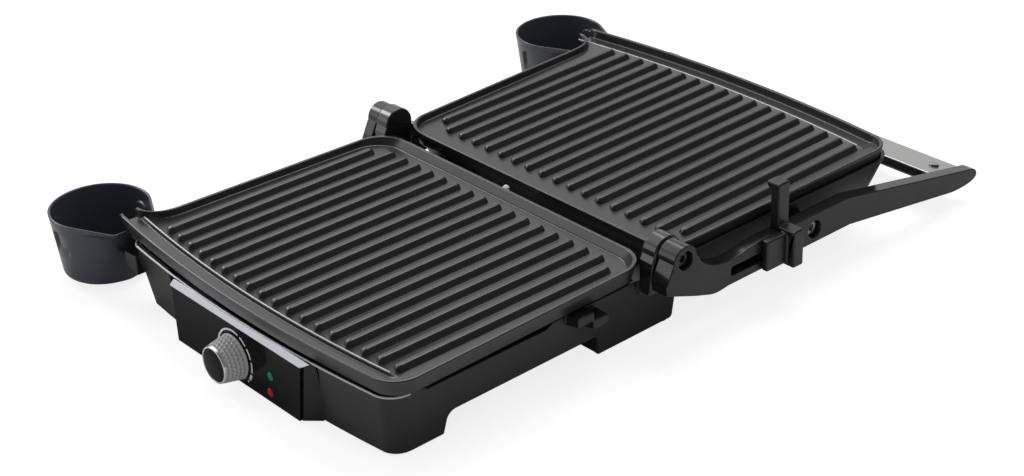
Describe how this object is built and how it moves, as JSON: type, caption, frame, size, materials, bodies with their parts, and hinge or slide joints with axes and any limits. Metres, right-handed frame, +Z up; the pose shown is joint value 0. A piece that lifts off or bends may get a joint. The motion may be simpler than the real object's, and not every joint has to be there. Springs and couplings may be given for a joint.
{
  "type": "electric table grill",
  "caption": "Electric contact grill opened out flat: two ribbed plates, hinged arms with a steel handle, sliding height clip, thermostat knob and drip cups.",
  "frame": {"origin": "on the table under the centre of the object's bounding box, with the grill opened out flat", "axes": "+Z up, +X to the right of someone who faces the control panel, +Y from the control panel to the handle"},
  "size_m": [0.418, 0.57, 0.0885],
  "materials": {
    "housing": "satin black moulded plastic",
    "arm": "fine matte dark grey moulded plastic",
    "hinge": "glossy dark grey moulded plastic",
    "plate": "die-cast aluminium with a dark grey satin non-stick coat",
    "panel": "glossy black moulded plastic with a white printed dial arc",
    "trim": "bright satin anodised strip",
    "knob": "silver-grey plastic with a dimpled grip",
    "knob_cap": "glossy black",
    "handle": "brushed along its length",
    "fastener": "zinc-plated steel",
    "shield": "aluminised sheet steel",
    "element": "dull oxidised steel sheath",
    "rubber": "matte black rubber",
    "lamp_green": "clear green tint",
    "lamp_red": "clear red tint",
    "board": "green circuit board laminate",
    "ceramic": "cream unglazed ceramic",
    "cup": "satin blue-black moulded plastic"
  },
  "bodies": {
    "base": {"base_housing": "housing", "base_bottom_cover": "housing", "rubber_foot_front_right": "rubber", "rubber_foot_front_left": "rubber", "rubber_foot_rear_right": "rubber", "rubber_foot_rear_left": "rubber", "cord_inlet_bushing": "rubber", "cover_screw_front_right": "fastener", "cover_screw_front_left": "fastener", "cover_screw_rear_right": "fastener", "cover_screw_rear_left": "fastener", "control_panel": "panel", "panel_trim_strip": "trim", "thermostat_body": "ceramic", "terminal_block": "ceramic", "rear_stud": "ceramic", "ready_lamp_lens": "lamp_green", "power_lamp_lens": "lamp_red", "lamp_board": "board", "lower_plate": "plate", "lower_heating_element": "element", "lower_heat_shield": "shield", "lower_plate_screw_1": "fastener", "lower_plate_screw_2": "fastener", "lower_plate_screw_3": "fastener", "lower_plate_screw_4": "fastener", "hinge_bracket_left": "hinge", "bracket_screw_left": "fastener", "hinge_bracket_right": "hinge", "bracket_screw_right": "fastener"},
    "knob": {"control_knob": "knob", "knob_cap": "knob_cap", "thermostat_shaft": "fastener"},
    "arm_frame": {"lid_arm_left": "arm", "lid_arm_right": "arm", "handle_channel": "handle", "handle_screw_left": "fastener", "handle_screw_right": "fastener", "hinge_pin_left": "fastener", "hinge_pin_right": "fastener"},
    "lid_head": {"lid_housing": "housing", "upper_plate": "plate", "upper_heating_element": "element", "upper_heat_shield": "shield", "upper_plate_screw_1": "fastener", "upper_plate_screw_2": "fastener", "upper_plate_screw_3": "fastener", "upper_plate_screw_4": "fastener", "lid_pivot_pin_left": "fastener", "lid_pivot_pin_right": "fastener"},
    "height_clip": {"height_clip": "housing"},
    "front_cup": {"drip_cup_front": "cup"},
    "rear_cup": {"drip_cup_rear": "cup"}
  },
  "joints": [
    {"name": "lid_fold", "type": "hinge", "parent": "base", "child": "arm_frame", "pos_m": [0.037, -0.03103, 0.07], "axis": [1, 0, 0], "range_deg": [0, 180]},
    {"name": "lid_float", "type": "hinge", "parent": "arm_frame", "child": "lid_head", "pos_m": [0.037, 0.10097, 0.042], "axis": [1, 0, 0], "range_deg": [-2, 0]},
    {"name": "thermostat_turn", "type": "hinge", "parent": "base", "child": "knob", "pos_m": [0.0205, -0.27003, 0.02], "axis": [0, 1, 0], "range_deg": [0, 270]},
    {"name": "clip_slide", "type": "slide", "parent": "arm_frame", "child": "height_clip", "axis": [0, -1, 0], "range_m": [0, 0.028]},
    {"name": "front_cup_pull", "type": "slide", "parent": "base", "child": "front_cup", "axis": [-1, 0, 0], "range_m": [0, 0.05]},
    {"name": "rear_cup_pull", "type": "slide", "parent": "arm_frame", "child": "rear_cup", "axis": [-1, 0, 0], "range_m": [0, 0.05]}
  ]
}
